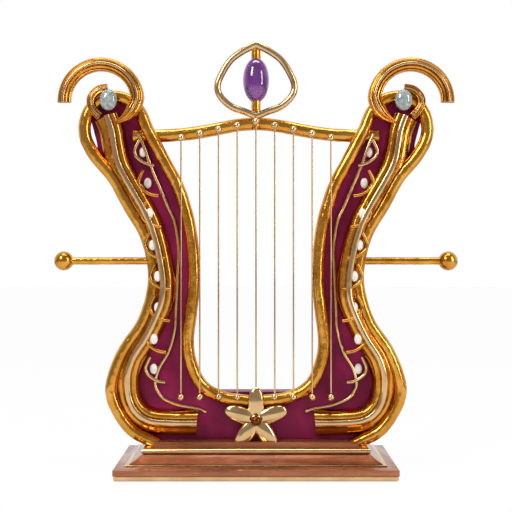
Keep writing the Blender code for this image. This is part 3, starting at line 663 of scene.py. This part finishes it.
def joined(meshes):
    """One mesh of several shells."""
    work = bmesh.new()
    for mesh in meshes:
        work.from_mesh(mesh)
    result = bpy.data.meshes.new("joined")
    work.to_mesh(result)
    work.free()
    result.shade_smooth()
    result.set_sharp_from_angle(angle=math.radians(45))
    return result


def hammer(mesh, depth, size, offset=0.0):
    """Sinks uneven hammer marks into a mesh: round dents among a slower waviness."""
    normals = [vertex.normal.copy() for vertex in mesh.vertices]
    for vertex, normal in zip(mesh.vertices, normals):
        place = vertex.co / size + Vector((offset, offset, offset))
        dent = max(0.0, 1.0 - noise.voronoi(place)[0][0] * DENT_SHARPNESS)
        wave = 0.5 + 0.5 * noise.noise(place * WAVE_SCALE)
        vertex.co = vertex.co - normal * depth * (DENT_SHARE * dent + (1.0 - DENT_SHARE) * wave)
    return mesh


def show(node, mesh, slot, body="harp_body"):
    """Shows a mesh in place of a CAD node."""
    item = bpy.data.objects.new(node + "_fine", mesh)
    bpy.context.scene.collection.objects.link(item)
    mesh.materials.clear()
    mesh.materials.append(SLOT_LOOK[slot])
    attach(item, body)
    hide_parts(node)


def show_pair(stem, mesh, slot, tail="", raised=None):
    """Shows a mesh for the +X node and its mirror image for the -X node.

    What stands further forward than raised is polished.
    """
    other = mesh.copy()
    other.transform(Matrix.Scale(-1, 4, (1, 0, 0)))
    other.flip_normals()
    for side, shape in (("right", mesh), ("left", other)):
        show(f"{stem}_{side}{tail}", shape, slot)
        if raised is not None:
            shape.materials.append(POLISHED)
            for face in shape.polygons:
                face.material_index = int(face.center.y < raised)


def bar_height(x):
    """Height of the crossbar's axis."""
    return up(BAR_END_Z + BAR_RISE * math.exp(-(x * MILLIMETRES / BAR_ARCH) ** 2))


def string_xs():
    return [(index - (STRINGS - 1) / 2) * STRING_PITCH for index in range(STRINGS)]


def pin_ball(x):
    drop = PIN_BALL_DROP * abs(x) / STRING_PITCH
    return Vector((x, PIN_BALL_Y, up(PIN_BALL_Z - drop)))


def pin_axis(x):
    return (Vector((x, BAR_Y, bar_height(x))) - pin_ball(x)).normalized()


def moulding(levels, closed):
    """A rectangular moulded block or ring: one rectangle for each (overhang, height) level."""
    mesh = bpy.data.meshes.new("moulding")
    work = bmesh.new()
    loops = []
    for overhang, height in levels:
        half_x = PLINTH_HALF_WIDTH + overhang
        half_y = PLINTH_HALF_DEPTH + overhang
        corners = [(-half_x, -half_y), (half_x, -half_y), (half_x, half_y), (-half_x, half_y)]
        loops.append([work.verts.new((x, y, height)) for x, y in corners])
    pairs = list(zip(loops, loops[1:]))
    if closed:
        pairs.append((loops[-1], loops[0]))
    for lower, upper in pairs:
        for index in range(4):
            other = (index + 1) % 4
            work.faces.new((lower[index], lower[other], upper[other], upper[index]))
    if not closed:
        work.faces.new(loops[0][::-1])
        work.faces.new(loops[-1])
    bmesh.ops.recalc_face_normals(work, faces=work.faces)
    work.to_mesh(mesh)
    work.free()
    item = placed("moulding", mesh)
    bevel = item.modifiers.new("Bevel", 'BEVEL')
    bevel.width = EDGE_BEVEL
    bevel.segments = EDGE_BEVEL_STEPS
    bevel.limit_method = 'ANGLE'
    bevel.angle_limit = math.radians(EDGE_BEVEL_ANGLE)
    return plain(item, angle=30)


def half_round(overhang, low, high, steps):
    radius = (high - low) / 2
    middle = (high + low) / 2
    turns = [math.pi * (step / steps - 0.5) for step in range(steps + 1)]
    return [(overhang - radius + radius * math.cos(turn), middle + radius * math.sin(turn))
            for turn in turns]


# The pieces, each in place of its CAD node.

def make_base():
    rebate = FOOT_OVERHANG - BAND_REBATE
    seat = COVE_OVERHANG - FILLET_SEAT_DEPTH
    chamfer_in, chamfer_up = FOOT_BAND_CHAMFER
    cove = []
    for step in range(COVE_STEPS + 1):
        share = step / COVE_STEPS
        cove.append((COVE_OVERHANG + (BEAD_OVERHANG - COVE_OVERHANG) * share
                     - COVE_SAG * math.sin(math.pi * share),
                     FILLET_TOP + (COVE_TOP - FILLET_TOP) * share))
    show("base_block", moulding([
        (rebate, 0.0), (rebate, BAND_TOP), (FOOT_OVERHANG, BAND_TOP), (FOOT_OVERHANG, FOOT_TOP),
        (FILLET_OVERHANG, SLOPE_TOP), (seat, SLOPE_TOP), (seat, FILLET_TOP), *cove,
        (0.0, COVE_TOP), (0.0, PLINTH_TOP),
    ], False), "copper_wood")
    show("base_foot_band", moulding([
        (rebate + GAP, 0.0), (BAND_OVERHANG - chamfer_in, 0.0), (BAND_OVERHANG, chamfer_up),
        (BAND_OVERHANG, BAND_TOP - GAP), (rebate + GAP, BAND_TOP - GAP),
    ], True), "polished_gold")
    show("base_fillet", moulding([
        (seat + GAP, SLOPE_TOP + GAP), (FILLET_OVERHANG, SLOPE_TOP + GAP),
        (FILLET_OVERHANG, FILLET_TOP - GAP), (seat + GAP, FILLET_TOP - GAP),
    ], True), "polished_gold")
    edge = half_round(BEAD_OVERHANG, COVE_TOP + GAP, BEAD_TOP, BEAD_STEPS)
    show("base_bead", moulding([(GAP, COVE_TOP + GAP), *edge, (GAP, BEAD_TOP)], True),
         "polished_gold")


def make_board():
    outer = smooth(front_points([BOARD_FOOT, *OUTER_ARM[2:], *BOARD_HEAD, *INNER_ARM,
                                 BOARD_CUT]), BOARD_STEPS)
    outline = outer + [Vector((-x, z)) for x, z in reversed(outer)]
    show("back_panel", board(outline, BOARD_FRONT, -BOARD_FRONT), "crimson_lacquer")


def make_tubes():
    """One tube round both arms, cut in two at the seam and off above the bead."""
    half = smooth(front_points(OUTER_ARM + ARM_HEAD + INNER_ARM + TUBE_BOTTOM), TUBE_STEPS)
    right = upright(half, TUBE_Y)
    loop = right + [(-x, y, z) for x, y, z in reversed(right[:-1])]
    foot = ((0.0, 0.0, BEAD_TOP + GAP), (0.0, 0.0, -1.0))
    for name, edge, sign in (("right", SEAM_X + GAP / 2, -1.0), ("left", SEAM_X - GAP / 2, 1.0)):
        tube = hammer(wire(loop, TUBE_RADIUS, TUBE_SIDES), *TUBE_MARKS)
        kept(tube, [((edge, 0.0, 0.0), (sign, 0.0, 0.0)), foot])
        show(f"frame_tube_{name}", tube, "hammered_gold")


def make_crossbar():
    """The bar with its rise at the middle."""
    xs = [BAR_HALF_LENGTH * (2 * step / BAR_STEPS - 1) for step in range(BAR_STEPS + 1)]
    bar = wire([(x, BAR_Y, bar_height(x)) for x in xs], BAR_RADIUS, TUBE_SIDES)
    show("crossbar", hammer(bar, *TUBE_MARKS, BAR_MARKS_OFFSET), "hammered_gold")


def band_profile():
    """The band's section: outer slope, raised strip with softened edges, inner ridge."""
    return [(-BAND_OUTER, 0.0), (-BAND_OUTER, RIM_FOOT), *smooth(OUTER_SLOPE, SLOPE_STEPS),
            (-STRIP_HALF, STRIP_HEIGHT - STRIP_EDGE),
            (-STRIP_HALF + STRIP_EDGE, STRIP_HEIGHT), (0.0, STRIP_HEIGHT + STRIP_CROWN),
            (STRIP_HALF - STRIP_EDGE, STRIP_HEIGHT), (STRIP_HALF, STRIP_HEIGHT - STRIP_EDGE),
            *smooth(INNER_RIDGE, SLOPE_STEPS),
            (BAND_INNER - RIM_CHAMFER, RIM_HEIGHT), (BAND_INNER, RIM_FOOT), (BAND_INNER, 0.0)]


def hook_points(index):
    x0 = HOOK_X[index]
    z0 = HOOK_TOP_Z - index * HOOK_PITCH
    return smooth(front_points([(x0 + dx, z0 + dz) for dx, dz in HOOK_SHAPE]), HOOK_STEPS)


def make_bands():
    """The band, trimmed at its end and clear of the tube, with hooks 2 to 7 on it."""
    band = fluted(smooth(front_points(STRIP_PATH), BAND_STEPS), band_profile(), BOARD_REST)
    low_x = across(BAND_END[0])
    end = board([(TRIM_INNER_X, 0.0), (low_x + BAND_END_SLANT, 0.0),
                 (low_x - BAND_END_SLANT, TRIM_TOP), (TRIM_INNER_X, TRIM_TOP)],
                -TRIM_HALF_DEPTH, TRIM_HALF_DEPTH)
    tube_path = upright(smooth(front_points(OUTER_ARM + ARM_HEAD), BAND_STEPS), TUBE_Y)
    tube = wire(tube_path, TUBE_RADIUS, COPE_SIDES)
    ribbon = fluted(smooth(front_points(OUTER_ARM[3:]), BAND_STEPS), OUTER_RIBBON, BOARD_REST)
    band = hammer(cut(band, [end, tube, ribbon]), *BAND_MARKS)
    hooks = []
    for index in range(1, 7):
        y = SECOND_HOOK_Y if index == 1 else BAND_HOOK_Y
        hooks.append(wire(upright(hook_points(index), y), VINE_LOOK_RADIUS, WIRE_SIDES))
    show_pair("scroll_band", joined([band, *hooks]), "hammered_gold",
              raised=BOARD_REST - STRIP_HEIGHT + STRIP_POLISH)


def scroll_profile(half, depth):
    return rounded([(half * u, depth * v) for u, v in SCROLL_SECTION])


def make_scrolls():
    """The big scroll that winds in and tapers to its tip, the small one and the opal in it."""
    points = []
    sizes = []
    centre_x, centre_z = BIG_SCROLL_CENTRE
    last = BIG_SCROLL_START + BIG_SCROLL_TURN
    for step in range(SCROLL_STEPS + 1):
        angle = BIG_SCROLL_START + BIG_SCROLL_TURN * step / SCROLL_STEPS
        wound = max(0.0, (angle - BIG_SCROLL_WIND_FROM) / (last - BIG_SCROLL_WIND_FROM))
        taper = max(0.0, (angle - BIG_SCROLL_TAPER_FROM) / (last - BIG_SCROLL_TAPER_FROM))
        radius = BIG_SCROLL_RADIUS - (BIG_SCROLL_RADIUS - BIG_SCROLL_TIP_RADIUS) * wound
        turn = math.radians(angle)
        points.append((across(centre_x + radius * math.cos(turn)),
                       up(centre_z + radius * math.sin(turn))))
        sizes.append(1.0 - (1.0 - BIG_SCROLL_TIP_SIZE) * taper ** BIG_SCROLL_TAPER_POWER)
    big = fluted(points[::-1], scroll_profile(BIG_SCROLL_HALF, BIG_SCROLL_DEPTH), SCROLL_BACK,
                 sizes[::-1])
    show_pair("big_scroll", big, "hammered_gold",
              raised=SCROLL_BACK - BIG_SCROLL_DEPTH * BIG_SCROLL_POLISH)
    path = smooth(front_points(SMALL_SCROLL_PATH), SMALL_SCROLL_STEPS)
    profile = [(-u, v) for u, v in scroll_profile(SMALL_SCROLL_HALF, SMALL_SCROLL_DEPTH)]
    show_pair("small_scroll", fluted(path, profile, SCROLL_BACK), "hammered_gold",
              raised=SCROLL_BACK - SMALL_SCROLL_DEPTH * SMALL_SCROLL_POLISH)
    x, z = OPAL_CENTRE
    centre = (across(x), SCROLL_BACK - GAP - OPAL_HALF[1], up(z))
    show_pair("opal", ellipsoid(centre, OPAL_HALF, OPAL_MESH), "opal")


def make_vines():
    """The vine with hooks 1 and 8, which are soldered to it."""
    knots = [(across(x), y / MILLIMETRES, up(z)) for x, y, z in VINE_PATH]
    vine = wire(smooth(knots, VINE_STEPS), VINE_LOOK_RADIUS, WIRE_SIDES)
    hooks = [wire(upright(hook_points(index), y), VINE_LOOK_RADIUS, WIRE_SIDES)
             for index, y in ((0, TOP_HOOK_Y), (7, BOTTOM_HOOK_Y))]
    show_pair("vine", joined([vine, *hooks]), "polished_gold")


def make_pearls():
    for index, hook_x in enumerate(HOOK_X):
        x = across(hook_x + PEARL_FROM_HOOK[0])
        z = up(HOOK_TOP_Z - index * HOOK_PITCH + PEARL_FROM_HOOK[1])
        back = BOARD_REST if index in BOARD_PEARLS else TUBE_FRONT - GAP
        mesh = ellipsoid((x, back - PEARL_HALF[1], z), PEARL_HALF, PEARL_MESH)
        show_pair("pearl", mesh, "pearl", f"_{index + 1}")


def make_side_rods():
    """The rod, fitted to the tube, with its ball."""
    x, z = ROD_END
    low = across(ROD_FOOT_X)
    points = [(low + (across(x) - low) * step / ROD_STEPS, TUBE_Y, up(z))
              for step in range(ROD_STEPS + 1)]
    rod = hammer(wire(points, ROD_RADIUS, ROD_SIDES), *ROD_MARKS)
    saddle = wire(upright(smooth(front_points(OUTER_ARM), VINE_STEPS), TUBE_Y),
                  TUBE_RADIUS - ROD_SINK, ROD_SIDES)
    rod = cut(rod, [saddle])
    ball = ellipsoid((across(x), TUBE_Y, up(z)), [ROD_BALL_RADIUS] * 3, ROD_BALL_MESH)
    show_pair("side_rod", joined([rod, ball]), "hammered_gold")


def make_crest():
    """The pointed wire loop and the spindle inside it."""
    half = smooth(front_points(CREST_PATH), CREST_STEPS)
    path = upright([(max(0.0, px), pz) for px, pz in half], CREST_Y)
    item = placed("crest", wire(path, CREST_WIRE, ROD_SIDES))
    mirror = item.modifiers.new("Mirror", 'MIRROR')
    mirror.use_bisect_axis[0] = True
    mirror.use_mirror_merge = True
    mirror.merge_threshold = MIRROR_WELD
    show("crest_loop", plain(item, angle=60), "polished_gold")
    low = bar_height(0.0) - BAR_RADIUS + GAP
    top = up(SPINDLE_TOP)
    points = [(0.0, SPINDLE_Y, low + (top - low) * step / ROD_STEPS)
              for step in range(ROD_STEPS + 1)]
    show("crest_spindle", hammer(wire(points, SPINDLE_RADIUS, ROD_SIDES), *SPINDLE_MARKS),
         "hammered_gold")


def make_gem():
    """A barrel bead turned about the spindle, bored through."""
    limit = math.acos((SPINDLE_RADIUS + GAP) / GEM_RADIUS)
    work = bmesh.new()
    rings = []
    for step in range(GEM_STEPS + 1):
        turn = limit * (1 - 2 * step / GEM_STEPS)
        radius = GEM_RADIUS * math.cos(turn)
        height = up(GEM_Z) + GEM_HALF_HEIGHT * math.sin(turn)
        angles = [math.tau * side / GEM_SIDES for side in range(GEM_SIDES)]
        rings.append([work.verts.new((radius * math.cos(angle),
                                      SPINDLE_Y + radius * math.sin(angle), height))
                      for angle in angles])
    for lower, upper in zip(rings, rings[1:] + rings[:1]):
        for side in range(GEM_SIDES):
            other = (side + 1) % GEM_SIDES
            work.faces.new((lower[side], lower[other], upper[other], upper[side]))
    bmesh.ops.recalc_face_normals(work, faces=work.faces)
    mesh = bpy.data.meshes.new("gem")
    work.to_mesh(mesh)
    work.free()
    mesh.shade_smooth()
    mesh.set_sharp_from_angle(angle=math.radians(50))
    show("gem", mesh, "amethyst", "gem_body")


def petal(angle, lift):
    """An oval petal, domed across, with a soft fold along one side."""
    work = bmesh.new()
    along, wide = PETAL_STEPS
    rows = []
    for i in range(along + 1):
        s = i / along
        half = PETAL_WIDTH / 2 * math.sqrt(max(0.0, 1 - (2 * s - 1) ** 2)) ** PETAL_ROUNDNESS
        row = []
        for j in range(wide + 1):
            t = 2 * j / wide - 1
            dome = PETAL_DOME * math.sqrt(max(0.0, 1 - t * t)) * math.sin(math.pi * s) ** 0.5
            crease = math.exp(-((t - FOLD_PLACE) / FOLD_WIDTH) ** 2)
            fold = FOLD_HEIGHT * crease * math.sin(math.pi * s)
            row.append(work.verts.new((half * t, -dome + fold,
                                       -PETAL_LENGTH / 2 + PETAL_LENGTH * s)))
        rows.append(row)
    for a, b in zip(rows, rows[1:]):
        for j in range(wide):
            work.faces.new((a[j], a[j + 1], b[j + 1], b[j]))
    edge = [row[0] for row in rows] + [row[-1] for row in reversed(rows)]
    work.faces.new(edge)
    bmesh.ops.remove_doubles(work, verts=work.verts, dist=WELD)
    bmesh.ops.dissolve_degenerate(work, edges=work.edges, dist=WELD / 10)
    bmesh.ops.recalc_face_normals(work, faces=work.faces)
    mesh = bpy.data.meshes.new("petal")
    work.to_mesh(mesh)
    work.free()
    turn = Matrix.Rotation(angle, 4, 'Y')
    reach = Matrix.Translation((PETAL_REACH * math.sin(angle), PETAL_BACK + lift,
                                up(FLOWER_Z) + PETAL_REACH * math.cos(angle)))
    mesh.transform(reach @ turn)
    return mesh


def make_flower():
    """The petals on their hub and stem, and the copper ball."""
    centre = up(FLOWER_Z)
    petals = []
    for index in range(PETALS):
        leaf = petal(math.tau * index / PETALS, -PETAL_STAGGER * index)
        petals.append(kept(leaf, [((0.0, 0.0, PLINTH_TOP + GAP), (0.0, 0.0, -1.0))]))
    hub = ellipsoid((0.0, PETAL_BACK, centre), HUB_HALF, HUB_MESH)
    stem = wire([(0.0, PETAL_BACK, centre), (0.0, BOARD_REST, centre)], FLOWER_STEM_RADIUS,
                STEM_SIDES)
    show("flower", joined([*petals, hub, stem]), "polished_gold")
    ball = ellipsoid((0.0, FLOWER_BALL_Y, centre), [FLOWER_BALL_RADIUS] * 3, FLOWER_BALL_MESH)
    show("flower_centre", ball, "copper")


def make_strings():
    """Each string from its pin's ball to its stud, the middle one into the tube."""
    for index, x in enumerate(string_xs()):
        top = pin_ball(x) - Vector((0.0, 0.0, BALL_RADIUS + GAP))
        if abs(x) < STRING_PITCH / 2:
            foot = up(TUBE_BOTTOM[-1][1]) + TUBE_RADIUS - MIDDLE_STRING_DEPTH
            line = [top, (x, MIDDLE_STRING_Y, foot + MIDDLE_STRING_STRAIGHT),
                    (x, MIDDLE_STRING_Y, foot)]
        else:
            line = [top, (x, STUD_BALL_Y, up(STUD_Z) + BALL_RADIUS + GAP)]
        show(f"string_{index + 1}", wire(line, STRING_RADIUS, WIRE_SIDES), "polished_gold")


def make_pins():
    """Ball, shaft through the bar and square end, on an axis that leans up to the bar."""
    length = BAR_RADIUS * 2 + (BAR_FRONT - PIN_BALL_Y) + PIN_TAIL
    for index, x in enumerate(string_xs()):
        ball = ellipsoid((0.0, 0.0, 0.0), [BALL_RADIUS] * 3, PIN_BALL_MESH)
        shaft = wire([(0.0, 0.0, 0.0), (0.0, length - PIN_TAIL / 2, 0.0)], PIN_RADIUS,
                     STEM_SIDES)
        half = PIN_SQUARE / 2
        square = box((-half, length - PIN_TAIL, -half), (half, length, half), EDGE_BEVEL)
        pin = joined([ball, shaft, square])
        turn = Vector((0.0, 1.0, 0.0)).rotation_difference(pin_axis(x)).to_matrix().to_4x4()
        pin.transform(Matrix.Translation(pin_ball(x)) @ turn)
        show(f"tuning_pin_{index + 1}", pin, "polished_gold", f"pin_{index + 1}")


def make_rail():
    """The rail behind the board with the studs that eight strings end on."""
    half = STRING_PITCH * (STRINGS - 1) / 2 + RAIL_OVERHANG
    z = up(STUD_Z)
    back = -BOARD_FRONT + GAP
    parts = [box((-half, back, z - RAIL_BELOW_STUD),
                 (half, back + RAIL_THICKNESS, z + RAIL_ABOVE_STUD), RAIL_BEVEL)]
    for x in string_xs():
        if abs(x) > STRING_PITCH / 2:
            parts.append(wire([(x, STUD_BALL_Y, z), (x, back + RAIL_THICKNESS / 2, z)],
                              STUD_RADIUS, WIRE_SIDES))
            parts.append(ellipsoid((x, STUD_BALL_Y, z), [BALL_RADIUS] * 3, STUD_BALL_MESH))
    show("hitch_rail", joined(parts), "polished_gold")


make_base()
make_board()
make_tubes()
make_crossbar()
make_bands()
make_scrolls()
make_vines()
make_pearls()
make_side_rods()
make_crest()
make_gem()
make_flower()
make_strings()
make_pins()
make_rail()


# Stage, light and camera.

def make_floor():
    """A pale floor that stays close to white for the camera and keeps the harp's shadow."""
    mesh = bpy.data.meshes.new("floor")
    corners = [(-1, -1), (1, -1), (1, 1), (-1, 1)]
    mesh.from_pydata([(x * FLOOR_HALF, y * FLOOR_HALF, FLOOR_Z) for x, y in corners], [],
                     [(0, 1, 2, 3)])
    floor = bpy.data.objects.new("floor", mesh)
    bpy.context.scene.collection.objects.link(floor)
    material = new_material("floor_paint", Roughness=0.9)
    tree = material.node_tree
    shader = tree.nodes["Principled BSDF"]
    shader.inputs["Base Color"].default_value = FLOOR_COLOUR
    glow = add(tree, "ShaderNodeEmission", Color=WHITE)
    path = add(tree, "ShaderNodeLightPath")
    share = add(tree, "ShaderNodeMath")
    share.operation = 'MULTIPLY'
    share.inputs[1].default_value = FLOOR_GLOW
    wire_up(tree, path, "Is Camera Ray", share, 0)
    mix_shaders(tree, share, 0, shader, glow, tree.nodes["Material Output"])
    mesh.materials.append(material)


def make_world():
    """White behind the harp for the camera, metal and glass; a dimmer studio in front of it."""
    world = bpy.data.worlds.new("studio")
    bpy.context.scene.world = world
    world.use_nodes = True
    tree = world.node_tree
    tree.nodes.clear()
    out = add(tree, "ShaderNodeOutputWorld")
    place = add(tree, "ShaderNodeTexCoord")
    split = add(tree, "ShaderNodeSeparateXYZ")
    wire_up(tree, place, "Generated", split, 0)
    scale = add(tree, "ShaderNodeMath")
    scale.operation = 'MULTIPLY_ADD'
    scale.inputs[1].default_value = 0.5
    scale.inputs[2].default_value = 0.5
    wire_up(tree, split, "Y", scale, 0)
    shade = ramp(tree, scale, 0, [(STUDIO_EDGE[0], STUDIO_FRONT), (STUDIO_EDGE[1], WHITE[:3])])
    room = add(tree, "ShaderNodeBackground", Strength=1.0)
    wire_up(tree, shade, "Color", room, "Color")
    ambient = add(tree, "ShaderNodeBackground", Color=WHITE, Strength=AMBIENT)
    white = add(tree, "ShaderNodeBackground", Color=WHITE, Strength=1.0)
    path = add(tree, "ShaderNodeLightPath")
    glossy = add(tree, "ShaderNodeMath")
    glossy.operation = 'MAXIMUM'
    wire_up(tree, path, "Is Glossy Ray", glossy, 0)
    wire_up(tree, path, "Is Transmission Ray", glossy, 1)
    lit = mix_shaders(tree, glossy, 0, ambient, room)
    mix_shaders(tree, path, "Is Camera Ray", lit, white, out)


def area_light(name, place, target, size, power, colour):
    data = bpy.data.lights.new(name, 'AREA')
    data.shape = 'RECTANGLE'
    data.size, data.size_y = size
    data.energy = power
    data.color = colour
    lamp = bpy.data.objects.new(name, data)
    lamp.location = place
    aim = Vector(target) - Vector(place)
    lamp.rotation_euler = aim.to_track_quat('-Z', 'Y').to_euler()
    bpy.context.scene.collection.objects.link(lamp)


def make_camera():
    data = bpy.data.cameras.new("camera")
    data.sensor_width = CAMERA_SENSOR
    data.lens = CAMERA_LENS
    camera = bpy.data.objects.new("camera", data)
    camera.location = CAMERA_PLACE
    camera.rotation_euler = (math.radians(90), 0.0, 0.0)
    bpy.context.scene.collection.objects.link(camera)
    bpy.context.scene.camera = camera


make_floor()
make_world()
for lamp in LAMPS:
    area_light(*lamp)
make_camera()
bpy.context.scene.view_settings.view_transform = 'Standard'
bpy.data.collections.remove(SCRATCH)
